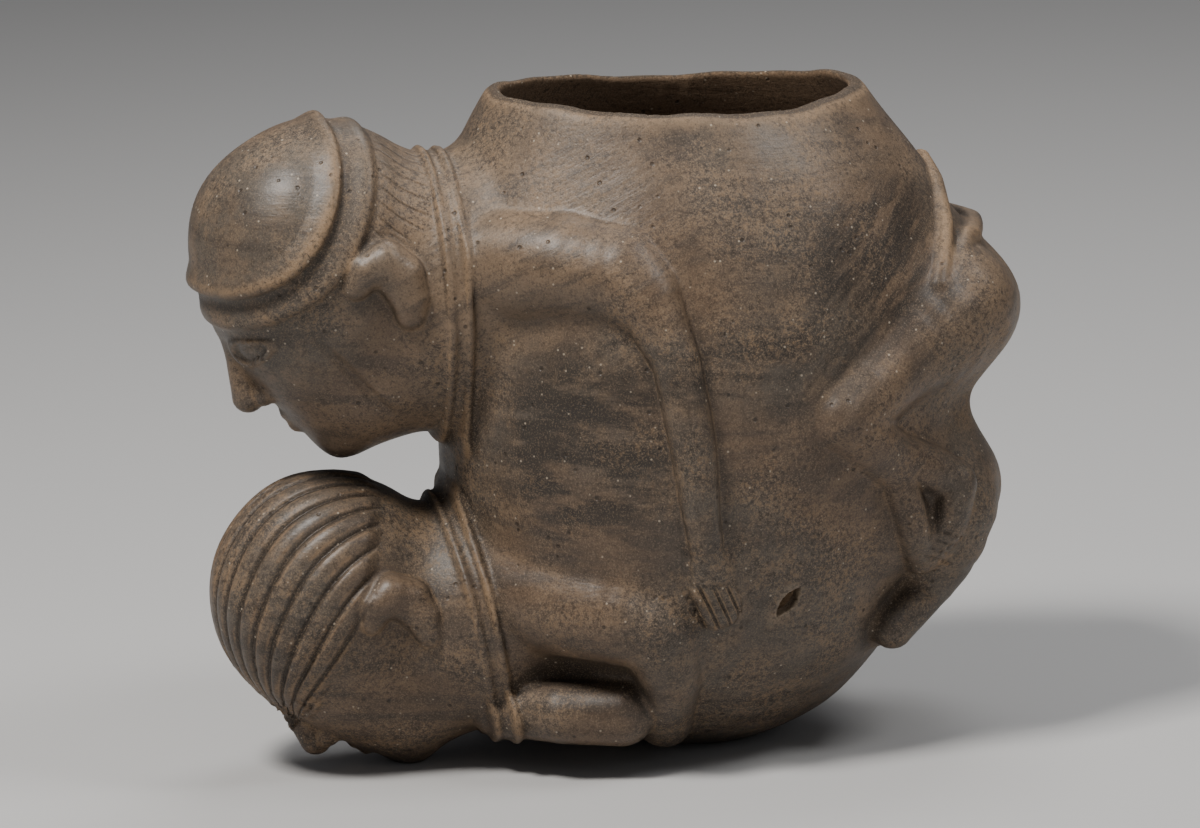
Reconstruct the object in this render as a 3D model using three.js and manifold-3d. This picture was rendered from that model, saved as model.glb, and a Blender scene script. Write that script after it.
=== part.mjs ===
// Effigy bowl of fired clay: two stooping figures, one on the other's back, modelled as one hollow vessel
// whose oval mouth opens in the upper figure's back. Millimetres, +Z up, both heads towards -X.
// The origin is on the table, under the middle of the vessel.
import * as THREE from "three";
import { mergeVertices } from "three/addons/utils/BufferGeometryUtils.js";
import Module from "manifold-3d";

const wasm = await Module();
wasm.setup();

// Driving dimensions
const length = 260; // from the upper head's brow to the upper figure's hips
const wall = 6.5; // thickness of the clay, heads included
const mouthLength = 106; // inside the lip, along the vessel
const mouthWidth = 76; // inside the lip, across the vessel
const lipThickness = 5;
const neckPassage = 26; // width of the way from the bowl into each hollow head
const restFlat = 2.2; // how much of the underside is worn flat where the vessel rests
const slitLength = 11; // old break through the near flank
const slitWidth = 3.4;
const slitSlant = 50; // degrees above the table

// Fineness of the mesh
const grain = 2; // spacing of the points at which the form is felt
const cavityGrain = 8;
const outsideTriangles = 8400;
const cavityTriangles = 900;

// The figures are laid out in hundredths of the length, written here as parts.
const part = length / 100;
const parts = (...values) => values.map((v) => v * part);

// Rounded forms, each a function that says how far a point is outside its surface
const blend = (a, b, soft) => {
  const h = Math.max(soft - Math.abs(a - b), 0) / soft;
  return Math.min(a, b) - (h * h * soft) / 4;
};
const trim = (a, b, soft) => -blend(-a, -b, soft);

// An egg with its own turn in the XZ plane. The radii are along its own X, Y and Z.
function egg(x, y, z, rx, ry, rz, turnDegrees = 0) {
  const turn = THREE.MathUtils.degToRad(turnDegrees);
  const [c, s] = [Math.cos(turn), Math.sin(turn)];
  [x, y, z, rx, ry, rz] = parts(x, y, z, rx, ry, rz);
  return (px, py, pz) => {
    const [dx, dz] = [px - x, pz - z];
    const a = (dx * c + dz * s) / rx;
    const b = (Math.abs(py) - y) / ry;
    const d = (dz * c - dx * s) / rz;
    const k = Math.hypot(a, b, d);
    return (k * (k - 1)) / Math.max(Math.hypot(a / rx, b / ry, d / rz), 1e-9);
  };
}

// A limb: a chain of round rods that taper from joint to joint. Each joint is [x, y, z, radius].
function limb(joints) {
  const rods = joints.slice(1).map((b, i) => [parts(...joints[i]), parts(...b)]);
  return (px, py, pz) => {
    const side = -Math.abs(py);
    let nearest = Infinity;
    for (const [a, b] of rods) {
      const [bx, by, bz] = [b[0] - a[0], b[1] - a[1], b[2] - a[2]];
      const [dx, dy, dz] = [px - a[0], side - a[1], pz - a[2]];
      const along = THREE.MathUtils.clamp(
        (dx * bx + dy * by + dz * bz) / (bx * bx + by * by + bz * bz), 0, 1);
      const gap = Math.hypot(dx - along * bx, dy - along * by, dz - along * bz);
      nearest = Math.min(nearest, gap - a[3] - along * (b[3] - a[3]));
    }
    return nearest;
  };
}

// How far out the side of a form is at a place seen from the side, in parts
function sideOf(form, x, z) {
  let [inner, outer] = [0, 40];
  while (outer - inner > 0.01) {
    const middle = (inner + outer) / 2;
    if (form(x * part, middle * part, z * part) > 0) outer = middle;
    else inner = middle;
  }
  return inner;
}

// A limb that lies on the side of a form. Each joint is [x, z, radius, how far it stands proud].
function limbOn(form, joints) {
  const fine = [joints[0]];
  joints.slice(1).forEach((b, i) => {
    for (const t of [1 / 3, 2 / 3, 1]) fine.push(b.map((v, m) => joints[i][m] + t * (v - joints[i][m])));
  });
  return limb(fine.map(([x, z, radius, proud]) => [x, radius - proud - sideOf(form, x, z), z, radius]));
}

// 1 on a line and 0 beyond its half width, with a round crest between
const crest = (distance, halfWidth) => {
  const t = Math.min(Math.abs(distance) / halfWidth, 1);
  return (1 - t * t) ** 2;
};
const step = (from, to, v) => THREE.MathUtils.smoothstep((v - from) / (to - from), 0, 1);

// The mouth: an oval cone that rises from the upper figure's back to a sloping rim
const mouthX = 10.2 * part;
const rimZ = 80.2 * part;
const rimSlope = -0.04;
const rimSag = 1.2 * part; // how much lower the rim is at the sides than at its ends
const rimAt = (x, y) => rimZ + rimSlope * (x - mouthX) - rimSag * (y / (mouthWidth / 2)) ** 2;
const mouthRise = 15 * part; // from the shoulder of the cone to the rim
const mouthSpread = 9 * part; // how much wider the cone is at its shoulder
const ovalness = mouthWidth / mouthLength;

function mouthCone(inset) {
  const rimRadius = mouthLength / 2 + lipThickness - inset;
  const lean = Math.cos(Math.atan2(mouthSpread, mouthRise));
  return (x, y, z) => {
    const below = rimZ - z;
    const spread = Math.hypot(x - mouthX, y / ovalness);
    return (spread - rimRadius - (below * mouthSpread) / mouthRise) * lean;
  };
}

// Heads share one form, in a frame of their own: forward, up and sideways from the head's centre.
function head(centreX, centreZ, stoopDegrees, size, dress) {
  const stoop = THREE.MathUtils.degToRad(stoopDegrees);
  const [fx, fz] = [-Math.cos(stoop) / size, -Math.sin(stoop) / size];
  const [ux, uz] = [fz, -fx];
  const [cx, cz] = parts(centreX, centreZ);
  const skull = egg(0.9, 0, 6, 15.2, 14, 15.2);
  const face = egg(4.6, 0, -5.5, 10.4, 10.4, 12);
  const jaw = egg(3.4, 0, -10.5, 9.2, 9.4, 7.4);
  const chin = egg(10, 0, -14.6, 2.6, 3.6, 2.6);
  const nose = limb([[14.8, 0, 2.5, 1.1], [16.6, 0, -2.6, 1.6], [17, 0, -4.6, 2]]);
  const nostril = limb([[15.4, -1.6, -5, 1.5], [14.8, -2, -5.1, 1.3]]);
  const brow = limb([[14.6, 0, 3.8, 1.2], [13, -5.4, 4.4, 1.3], [10, -9.6, 3.4, 0.9]]);
  const lips = limb([[14, 0, -9.6, 1.5], [12.4, -3.6, -9.8, 1]]);
  const eyeball = egg(10.8, 6.2, 0, 2.8, 2.8, 2.2);
  const bare = (f, s, u) =>
    blend(blend(skull(f, s, u), face(f, s, u), 6 * part), jaw(f, s, u), 3 * part);
  const form = (f, s, u) => {
    let d = bare(f, s, u);
    d = blend(d, chin(f, s, u), 3 * part);
    d = blend(d, brow(f, s, u), 1.5 * part);
    d = blend(d, nose(f, s, u), 1.2 * part);
    d = blend(d, nostril(f, s, u), 1 * part);
    d = blend(d, lips(f, s, u), 1.2 * part);
    d = blend(d, eyeball(f, s, u), 0.6 * part);
    return d - dress(f / part, Math.abs(s) / part, u / part) * part;
  };
  return (x, y, z) => {
    const [dx, dz] = [x - cx, z - cz];
    return form(dx * fx + dz * fz, y / size, dx * ux + dz * uz) * size;
  };
}

// The upper figure wears a smooth cap edged by a cord and a broader fillet behind it.
function capAndFillet(f, s, u) {
  const level = 0.36 * f + 0.933 * u + 0.03 * s * s;
  const templeLine = crest(f - 5.6 - 0.22 * u, 0.8) * step(7.5, 4, level) * step(-14, -10, u) * step(5, 7, s);
  return 1 * crest(level - 15.8, 1.5) + 0.7 * crest(level - 12.1, 2) - 0.4 * templeLine;
}

const hairRidges = 6.4; // in each radian around the crown
// The lower figure's hair is combed back over the crown in ridges that meet at brow and nape.
function combedHair(f, s, u) {
  const around = Math.atan2(s, u + 1.5);
  const hair = step(5.5, 8, 0.42 * f + 0.9 * u + 2) * step(1.32, 1.18, around);
  return (0.45 * Math.cos(around * hairRidges * 2 * Math.PI) + 0.3) * hair;
}

const upperPose = [-29.4, 58.9, 28.7, 1];
const lowerPose = [-28.6, 19, 47.7, 0.93];
const upperHead = head(...upperPose, capAndFillet);
const lowerHead = head(...lowerPose, combedHair);

// The masses that the hollow follows
const upperTrunk = egg(13, 0, 50, 32, 27, 31);
const lowerTrunk = egg(10.5, 0, 31, 29, 27, 31);
const upperNeck = egg(-18, 0, 57.5, 16, 15.2, 16.4);
const lowerNeck = egg(-16, 0, 18.5, 15, 15.2, 14.2);
const upperHips = egg(37, 7, 52.3, 12.8, 13, 9.8);
const lowerHips = egg(34, 7, 30.8, 13, 13.2, 9.8);
const bowlCone = mouthCone(0);

function trunk(x, y, z) {
  let d = blend(upperTrunk(x, y, z), lowerTrunk(x, y, z), 8 * part);
  d = blend(d, trim(bowlCone(x, y, z), rimZ - mouthRise * 1.5 - z, 14 * part), 5 * part);
  d = blend(d, upperHips(x, y, z), 5 * part);
  d = blend(d, lowerHips(x, y, z), 5 * part);
  d = blend(d, upperNeck(x, y, z), 3 * part);
  return blend(d, lowerNeck(x, y, z), 3 * part);
}

const flankLimb = (joints) => limbOn(trunk, joints);

const softness = (shape, soft) => ({ shape, soft: soft * part });
const limbs = [
  // the lower figure's thigh and shin, folded under
  softness(flankLimb([[38, 29, 7, 0.8], [36.5, 22, 5.4, 1.4], [31, 16.6, 4, 1.8]]), 2),
  softness(limb([[31, -16.4, 15.6, 2.6], [36.6, -14, 20, 2.6], [41, -10, 26, 2.6]]), 1.6),
  // the upper figure's thigh, shin and foot
  softness(flankLimb([[40, 53, 8, 1.2], [34.4, 50, 6, 2.2], [23.8, 43.6, 4.2, 2.6]]), 1.8),
  softness(flankLimb([[23.6, 43.2, 3.8, 2.5], [30, 38, 3, 2.2], [38.4, 33.4, 2.8, 2.2]]), 1.2),
  softness(flankLimb([[23.6, 43, 3.8, 2.4], [30.5, 35.4, 2.4, 1.8], [33.8, 26, 2.2, 1.8]]), 1.2),
  softness(flankLimb([[38.8, 32.8, 2.6, 2.4], [37.4, 28.6, 2.6, 2.2], [34.4, 24.4, 2.2, 1.8]]), 1.2),
  // the upper figure's belt: two cords that run together at the top of the thigh
  softness(flankLimb([[40.6, 69, 1.5, 0.6], [40, 63, 1.5, 0.7], [37.4, 57, 1.7, 0.8]]), 0.8),
  softness(flankLimb([[46.6, 60.6, 1.5, 0.2], [42.6, 61, 1.5, 0.6], [38, 56.6, 1.6, 0.7]]), 0.8),
  // the lower figure's shoulder, upper arm and forearm, folded under the chest
  softness(flankLimb([[-11, 22.4, 7, 1.2], [-4, 21.6, 6.6, 2.4], [1, 20, 5.6, 2.8]]), 1.8),
  softness(flankLimb([[1.4, 19.5, 4.8, 2.8], [3, 13, 3.8, 2.8], [3.2, 6.5, 3.3, 2.4]]), 1.2),
  softness(limb([[-15.5, -9, 8.2, 3.2], [-9, -15.6, 8.8, 3.8], [-2.5, -17.6, 8.8, 4]]), 1.2),
  // the upper figure's upper arm, forearm and hand
  softness(flankLimb([[-13, 61.6, 7.4, 1.4], [-6, 62.2, 7, 2.4], [-1, 61.4, 6.2, 2.7], [1, 59.4, 5, 2.9]]), 1.4),
  softness(flankLimb([[1.8, 58.4, 4, 2.9], [3.9, 52, 3, 2.9], [4.9, 44, 2.6, 2.6], [5.7, 36, 2.3, 2.3]]), 0.8),
  softness(flankLimb([[5.7, 36, 2.3, 2.3], [6.5, 29, 2, 1.9], [7.7, 25, 2.7, 1.7], [8.2, 22, 2.7, 1.2]]), 0.7),
];

const masses = (x, y, z) => blend(blend(trunk(x, y, z), upperHead(x, y, z), 3 * part), lowerHead(x, y, z), 3 * part);

// An ear is a thick raised crescent in the head's own frame, laid where head and neck meet.
function ear(centreX, centreZ, stoopDegrees, size) {
  const stoop = THREE.MathUtils.degToRad(stoopDegrees);
  const [c, s] = [Math.cos(stoop) * size, Math.sin(stoop) * size];
  const curl = [
    [0.6, 3.8, 1.7, 1.4], [-1.4, 4.3, 2.3, 2.2], [-4, 3.6, 2.8, 2.8], [-5, 0.8, 2.8, 2.8],
    [-4.2, -1.8, 2.2, 2.2], [-3, -3.4, 1.7, 1.5],
  ];
  return limbOn(masses, curl.map(([f, u, radius, proud]) =>
    [centreX - c * f - s * u, centreZ - s * f + c * u, radius * size, proud * size]));
}
const ears = [ear(...upperPose), ear(...lowerPose)];

// Each neck wears a collar: a flat band with a raised cord along both edges.
function collars(x, z) {
  const [px, pz] = [x / part, z / part];
  const upper = px + 19.2;
  const lower = px + 19.6 + 0.165 * (pz - 31.5);
  const ring = (at) => 0.55 * crest(at - 1.1, 0.9) + 0.55 * crest(at + 1.1, 0.9) + 0.25 * crest(at, 2);
  return (ring(upper) * step(38, 41, pz) + ring(lower) * step(36, 33, pz)) * part;
}

function outside(x, y, z) {
  let d = trunk(x, y, z);
  for (const { shape, soft } of limbs) d = blend(d, shape(x, y, z), soft);
  d = blend(d, upperHead(x, y, z), 3 * part);
  d = blend(d, lowerHead(x, y, z), 3 * part);
  for (const shape of ears) d = blend(d, shape(x, y, z), 0.8 * part);
  d -= collars(x, z) * step(7, 4, Math.abs(d) / part);
  return Math.max(d, z - rimAt(x, y));
}

// The hollow keeps a wall's thickness inside the trunk and runs on through the necks into the heads.
const upperSkull = egg(-36.2, 0, 63.5, 14.4, 13.2, 14.4);
const lowerSkull = egg(-33.4, 0, 22.4, 14.4, 13.2, 14);
const passage = (z) => {
  const r = neckPassage / 2 / part;
  return limb([[-36, 0, z, r], [0, 0, z, r]]);
};
const upperPassage = passage(58);
const lowerPassage = passage(20);

function hollow(x, y, z) {
  let d = Math.max(trunk(x, y, z) + wall, z - rimZ + mouthRise / 3);
  d = Math.min(d, upperSkull(x, y, z) + wall * 1.3, lowerSkull(x, y, z) + wall * 1.3);
  return Math.min(d, upperPassage(x, y, z), lowerPassage(x, y, z));
}

// Feels for the surface of a form on a grid of points, and joins what it finds into a closed skin:
// one vertex in each cell that the surface crosses, one square across each grid edge that it cuts.
function skin(form, low, high, spacing) {
  const count = low.map((v, i) => Math.ceil((high[i] - v) / spacing) + 1);
  const stride = [1, count[0], count[0] * count[1]];
  const value = new Float32Array(count[0] * count[1] * count[2]);
  const feel = (i, j, k) => form(low[0] + i * spacing, low[1] + j * spacing, low[2] + k * spacing);
  // Block by block: a block whose middle is far from the surface is all inside or all outside.
  const block = 5;
  for (let k0 = 0; k0 < count[2]; k0 += block)
    for (let j0 = 0; j0 < count[1]; j0 += block)
      for (let i0 = 0; i0 < count[0]; i0 += block) {
        const middle = feel(i0 + block / 2, j0 + block / 2, k0 + block / 2);
        const far = Math.abs(middle) > 1.6 * block * spacing;
        for (let k = k0; k < Math.min(k0 + block, count[2]); k++)
          for (let j = j0; j < Math.min(j0 + block, count[1]); j++)
            for (let i = i0; i < Math.min(i0 + block, count[0]); i++)
              value[i + j * stride[1] + k * stride[2]] = far ? middle : feel(i, j, k);
      }

  // Where a grid square has two opposite corners inside and the other two outside, the skin would touch
  // itself along an edge, so the shallower of the inside corners is let out.
  for (let touching = true; touching; ) {
    touching = false;
    for (let k = 0; k < count[2] - 1; k++)
      for (let j = 0; j < count[1] - 1; j++)
        for (let i = 0; i < count[0] - 1; i++) {
          const at = i + j * stride[1] + k * stride[2];
          for (const [p, q] of [[1, stride[1]], [1, stride[2]], [stride[1], stride[2]]]) {
            const [a, b, c, d] = [value[at], value[at + p], value[at + p + q], value[at + q]];
            if (a < 0 !== c < 0 || b < 0 !== d < 0 || a < 0 === b < 0) continue;
            const [u, v] = a < 0 ? [at, at + p + q] : [at + p, at + q];
            value[value[u] > value[v] ? u : v] = 1e-3;
            touching = true;
          }
        }
  }

  const corners = [...Array(8).keys()].map((c) => [c & 1, (c >> 1) & 1, c >> 2]);
  const edges = [];
  for (let a = 0; a < 8; a++) for (const bit of [1, 2, 4]) if (!(a & bit)) edges.push([a, a | bit]);
  const offset = corners.map(([i, j, k]) => i + j * stride[1] + k * stride[2]);
  const vertexOf = new Int32Array(value.length).fill(-1);
  const vertices = [];
  for (let k = 0; k < count[2] - 1; k++)
    for (let j = 0; j < count[1] - 1; j++)
      for (let i = 0; i < count[0] - 1; i++) {
        const cell = i + j * stride[1] + k * stride[2];
        const sum = [0, 0, 0];
        let crossings = 0;
        for (const [a, b] of edges) {
          const [va, vb] = [value[cell + offset[a]], value[cell + offset[b]]];
          if (va < 0 === vb < 0) continue;
          const t = va / (va - vb);
          for (let m = 0; m < 3; m++) sum[m] += corners[a][m] + t * (corners[b][m] - corners[a][m]);
          crossings++;
        }
        if (!crossings) continue;
        vertexOf[cell] = vertices.length / 3;
        [i, j, k].forEach((c, m) => vertices.push(low[m] + (c + sum[m] / crossings) * spacing));
      }

  const triangles = [];
  for (let k = 1; k < count[2] - 1; k++)
    for (let j = 1; j < count[1] - 1; j++)
      for (let i = 1; i < count[0] - 1; i++) {
        const at = i + j * stride[1] + k * stride[2];
        for (let m = 0; m < 3; m++) {
          const [here, next] = [value[at] < 0, value[at + stride[m]] < 0];
          if (here === next) continue;
          const [p, q] = [stride[(m + 1) % 3], stride[(m + 2) % 3]];
          const [a, b, c, d] = [at - p - q, at - q, at, at - p].map((cell) => vertexOf[cell]);
          if (here) triangles.push(a, b, c, a, c, d);
          else triangles.push(a, c, b, a, d, c);
        }
      }
  return { vertices: Float64Array.from(vertices), triangles };
}

// Thins a skin to a number of triangles by closing up the edges that matter least to its shape,
// as measured by the squared distance to the planes of the triangles that have met there.
function thin({ vertices, triangles }, target) {
  const total = vertices.length / 3;
  const point = (v) => new THREE.Vector3().fromArray(vertices, v * 3);
  const faces = [];
  const around = Array.from({ length: total }, () => new Set());
  const quadric = Array.from({ length: total }, () => new Float64Array(10));
  const normal = (a, b, c) => b.clone().sub(a).cross(c.clone().sub(a));
  for (let t = 0; t < triangles.length; t += 3) {
    const face = triangles.slice(t, t + 3);
    const [a, b, c] = face.map(point);
    const n = normal(a, b, c);
    const area = n.length();
    n.divideScalar(area || 1);
    const plane = [n.x, n.y, n.z, -n.dot(a)];
    face.forEach((v) => {
      around[v].add(faces.length);
      let m = 0;
      for (let i = 0; i < 4; i++) for (let j = i; j < 4; j++) quadric[v][m++] += area * plane[i] * plane[j];
    });
    faces.push(face);
  }
  const error = (q, p) =>
    q[0] * p.x * p.x + 2 * q[1] * p.x * p.y + 2 * q[2] * p.x * p.z + 2 * q[3] * p.x +
    q[4] * p.y * p.y + 2 * q[5] * p.y * p.z + 2 * q[6] * p.y + q[7] * p.z * p.z + 2 * q[8] * p.z + q[9];

  const heap = [];
  const swap = (i, j) => ([heap[i], heap[j]] = [heap[j], heap[i]]);
  const push = (item) => {
    let i = heap.push(item) - 1;
    for (let up = (i - 1) >> 1; i && heap[up].cost > heap[i].cost; up = (i - 1) >> 1) {
      swap(i, up);
      i = up;
    }
  };
  const pop = () => {
    const top = heap[0];
    const last = heap.pop();
    if (!heap.length) return top;
    heap[0] = last;
    for (let i = 0, child = 1; child < heap.length; child = 2 * i + 1) {
      if (child + 1 < heap.length && heap[child + 1].cost < heap[child].cost) child++;
      if (heap[i].cost <= heap[child].cost) break;
      swap(i, child);
      i = child;
    }
    return top;
  };
  const stamp = new Uint32Array(total);
  const offer = (a, b) => {
    const q = quadric[a].map((v, i) => v + quadric[b][i]);
    const [pa, pb] = [point(a), point(b)];
    const places = [pa, pb, pa.clone().lerp(pb, 0.5)].map((p) => ({ p, cost: error(q, p) }));
    const best = places.reduce((x, y) => (y.cost < x.cost ? y : x));
    const shortness = 1e-4 * pa.distanceToSquared(pb); // evens out flat places
    push({ cost: best.cost + shortness, a, b, place: best.p, q, sa: stamp[a], sb: stamp[b] });
  };
  const neighbours = (v) => new Set([...around[v]].flatMap((f) => faces[f]).filter((w) => w !== v));
  for (let v = 0; v < total; v++) for (const w of neighbours(v)) if (v < w) offer(v, w);

  let left = faces.length;
  while (left > target && heap.length) {
    const { a, b, place, q, sa, sb } = pop();
    if (stamp[a] !== sa || stamp[b] !== sb) continue;
    const [na, nb] = [neighbours(a), neighbours(b)];
    if ([...na].filter((v) => nb.has(v)).length !== 2) continue;
    const turnsOver = (v, other) => [...around[v]].some((f) => {
      if (faces[f].includes(other)) return false;
      const before = faces[f].map(point);
      const after = faces[f].map((w, i) => (w === v ? place : before[i]));
      const [n0, n1] = [normal(...before), normal(...after)];
      return n0.dot(n1) < 0.3 * n0.length() * n1.length();
    });
    if (turnsOver(a, b) || turnsOver(b, a)) continue;
    for (const f of [...around[b]]) {
      if (faces[f].includes(a)) {
        faces[f].forEach((v) => around[v].delete(f));
        faces[f] = null;
        left--;
      } else {
        faces[f] = faces[f].map((v) => (v === b ? a : v));
        around[a].add(f);
      }
    }
    around[b].clear();
    place.toArray(vertices, a * 3);
    quadric[a] = q;
    stamp[a]++;
    stamp[b]++;
    for (const v of neighbours(a)) offer(a, v);
  }
  return { vertices, triangles: faces.filter(Boolean).flat() };
}

// Solids for cutting and joining, and back
function solidOf(geometry) {
  const bare = geometry.clone();
  bare.deleteAttribute("normal");
  bare.deleteAttribute("uv");
  const merged = mergeVertices(bare, 1e-4);
  return new wasm.Manifold(new wasm.Mesh({
    numProp: 3,
    vertProperties: merged.attributes.position.array,
    triVerts: new Uint32Array(merged.index.array),
  }));
}

function geometryOf(solid) {
  const { vertProperties, triVerts } = solid.getMesh();
  return new THREE.BufferGeometry()
    .setAttribute("position", new THREE.BufferAttribute(vertProperties, 3))
    .setIndex(new THREE.BufferAttribute(triVerts, 1));
}

function modelled(form, low, high, spacing, triangleCount) {
  const { vertices, triangles } = thin(skin(form, low, high, spacing), triangleCount);
  return solidOf(new THREE.BufferGeometry()
    .setAttribute("position", new THREE.BufferAttribute(Float32Array.from(vertices), 3))
    .setIndex(triangles));
}

// The throat of the mouth: an oval plug, narrowest at the lip, that opens into the hollow
function throat() {
  const [lip, over, depth] = [mouthLength / 2, 3 * part, mouthRise];
  const widen = (mouthSpread / mouthRise) * depth;
  const profile = [[0, -depth], [lip + widen, -depth], [lip, -lipThickness / 2], [lip, 0], [lip + lipThickness / 3, over], [0, over]];
  const geometry = new THREE.LatheGeometry(profile.map(([r, h]) => new THREE.Vector2(r, h)), 56);
  geometry.rotateX(Math.PI / 2).scale(1, ovalness, 1);
  const p = geometry.attributes.position;
  for (let i = 0; i < p.count; i++) p.setZ(i, p.getZ(i) + rimSlope * p.getX(i));
  return solidOf(geometry.translate(mouthX, 0, rimZ));
}

// The old break: a pointed slit through the near wall
function slit() {
  const outline = new THREE.Shape();
  outline.moveTo(-slitLength / 2, 0);
  outline.quadraticCurveTo(-slitLength / 8, slitWidth, slitLength / 2, 0);
  outline.quadraticCurveTo(slitLength / 8, -slitWidth, -slitLength / 2, 0);
  const [x, z] = [16.4, 22];
  const depth = 4 * wall;
  const geometry = new THREE.ExtrudeGeometry(outline, { depth, bevelEnabled: false, curveSegments: 5 });
  geometry.translate(0, 0, -depth / 2).rotateZ(THREE.MathUtils.degToRad(slitSlant)).rotateX(Math.PI / 2);
  return solidOf(geometry.translate(x * part, -sideOf(trunk, x, z) * part, z * part));
}

// The table, which takes off what would reach below it
function table() {
  const depth = 4 * part;
  return solidOf(new THREE.BoxGeometry(2 * length, length, depth).translate(0, 0, restFlat - depth / 2));
}

const low = parts(-53, -34, -4);
const high = parts(56, 34, 86);
const clay = modelled(outside, low, high, grain, outsideTriangles);
const inside = modelled(hollow, low, high, cavityGrain, cavityTriangles);
const vessel = geometryOf(clay.subtract(inside).subtract(throat()).subtract(slit()).subtract(table()));
vessel.computeBoundingBox();
const { min, max } = vessel.boundingBox;
vessel.translate(-(min.x + max.x) / 2, -(min.y + max.y) / 2, -min.z);
vessel.computeVertexNormals();

const effigyBowl = new THREE.Mesh(
  vessel,
  new THREE.MeshStandardMaterial({ color: 0x6b5a49, roughness: 0.72, metalness: 0 }),
);
effigyBowl.name = "effigy_bowl";

const group = new THREE.Group();
group.add(effigyBowl);
export default group;
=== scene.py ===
# %% [markdown]
# # An effigy bowl of burnished clay
#
# The bowl is one hollow vessel of fired clay, modelled as two stooping figures, one crouched on the
# other's back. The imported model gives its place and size. This lesson turns that faceted solid into clay:
# it feels out the rounded form again, carves the fine relief into it, and gives it a burnished, worn,
# fire-clouded surface. All lengths are in metres, with the table at z = 0 and the heads towards -X.

# %% The frame
import math

import bmesh
import bpy
import numpy as np
from mathutils import Matrix, Vector


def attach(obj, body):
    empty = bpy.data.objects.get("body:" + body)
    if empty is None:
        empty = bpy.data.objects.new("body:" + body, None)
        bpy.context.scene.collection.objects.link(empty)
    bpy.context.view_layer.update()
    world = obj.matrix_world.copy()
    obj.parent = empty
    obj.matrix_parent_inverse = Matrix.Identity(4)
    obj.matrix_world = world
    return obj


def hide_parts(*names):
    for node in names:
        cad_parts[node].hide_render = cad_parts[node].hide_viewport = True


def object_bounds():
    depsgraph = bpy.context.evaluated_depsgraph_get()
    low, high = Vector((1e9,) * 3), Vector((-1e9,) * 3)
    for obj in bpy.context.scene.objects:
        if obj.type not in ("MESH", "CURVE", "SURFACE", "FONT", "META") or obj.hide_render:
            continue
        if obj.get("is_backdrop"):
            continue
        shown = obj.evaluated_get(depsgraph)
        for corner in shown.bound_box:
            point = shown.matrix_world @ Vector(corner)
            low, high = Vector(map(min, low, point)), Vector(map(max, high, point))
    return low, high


def rounded(box, places):
    return [[round(v, places) for v in corner] for corner in box]


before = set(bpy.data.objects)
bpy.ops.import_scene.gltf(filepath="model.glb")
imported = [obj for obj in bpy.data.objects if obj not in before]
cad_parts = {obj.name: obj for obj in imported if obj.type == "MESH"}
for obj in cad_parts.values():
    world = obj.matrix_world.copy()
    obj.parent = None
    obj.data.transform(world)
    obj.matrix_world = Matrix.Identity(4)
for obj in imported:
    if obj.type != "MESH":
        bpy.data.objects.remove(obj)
solid_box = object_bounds()
print("solid:", rounded(solid_box, 4))

# %% [markdown]
# ## The camera
#
# The photograph was taken with a long lens, a little above the table and a little round towards the heads.
# A camera is easiest to place by the direction it looks from. Three vectors at right angles, its right, its
# up and its back, are the columns of its rotation, and a small roll turns the first two.

# %% The camera
AZIMUTH, ELEVATION, ROLL = (math.radians(v) for v in (-12, 12, 2.3))
DISTANCE = 2.4
VIEW_WIDTH = 0.372  # how much of the table's width the picture takes in at the bowl
MIDDLE = Vector((0, 0, 0.105))
NUDGE = 0.0009  # left and down, to centre the bowl in the picture
SENSOR_WIDTH = 36

back = Vector((
    math.sin(AZIMUTH) * math.cos(ELEVATION),
    -math.cos(AZIMUTH) * math.cos(ELEVATION),
    math.sin(ELEVATION),
))
level_right = Vector((math.cos(AZIMUTH), math.sin(AZIMUTH), 0))
level_up = back.cross(level_right)
right = level_right * math.cos(ROLL) - level_up * math.sin(ROLL)
up = level_right * math.sin(ROLL) + level_up * math.cos(ROLL)

lens = bpy.data.cameras.new("camera")
lens.sensor_width = SENSOR_WIDTH
lens.lens = SENSOR_WIDTH * DISTANCE / VIEW_WIDTH
camera = bpy.data.objects.new("camera", lens)
aim = MIDDLE - NUDGE * right - NUDGE * up
camera.matrix_world = Matrix.Translation(aim + DISTANCE * back) @ (
    Matrix((right, up, back)).transposed().to_4x4())
bpy.context.scene.collection.objects.link(camera)
bpy.context.scene.camera = camera
print("lens:", round(lens.lens), "mm")

# %% [markdown]
# ## Forms that know how far away they are
#
# Rounded clay has no edges to build from, so its form is described by distance instead: a function takes
# points and says how far each one is outside the surface. Two masses run together where a `blend` of
# their distances dips below both, as clay does when one lump is smoothed onto another. `trim` is the same
# the other way round, for a cut with a softened edge. `crest` is the rounded height of a cord or a ridge
# across its width, and `step` rises smoothly from 0 to 1. The figures are laid out in hundredths of the
# bowl's length, which these functions use throughout.

# %% Blends and steps
PART_MM = 2.6  # a hundredth of the length
PART = 0.0026
SHIFT = (0.0012286, 0.0, 0.0022)  # from the figures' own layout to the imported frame


def blend(a, b, soft):
    h = np.maximum(soft - np.abs(a - b), 0) / soft
    return np.minimum(a, b) - h * h * soft / 4


def trim(a, b, soft):
    return -blend(-a, -b, soft)


def crest(distance, half_width):
    t = np.minimum(np.abs(distance) / half_width, 1)
    return (1 - t * t) ** 2


def step(start, end, v):
    t = np.clip((v - start) / (end - start), 0, 1)
    return t * t * (3 - 2 * t)


print("a softness of 8 fills a crease by", round(-float(blend(0, 0, 8)) * PART_MM, 1), "mm")

# %% [markdown]
# ## Eggs and limbs
#
# Two kinds of lump make the figures. An egg is a ball that is longer one way than another. A limb is a
# chain of round rods that swell and taper from joint to joint, each joint being a place and a radius. Both
# figures are the same left and right, so a lump that is off the middle is mirrored, by folding the points
# to one side before the distance is taken.

# %% Eggs and limbs
FAR = 9.0  # what a small form answers for points well away from it


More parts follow.
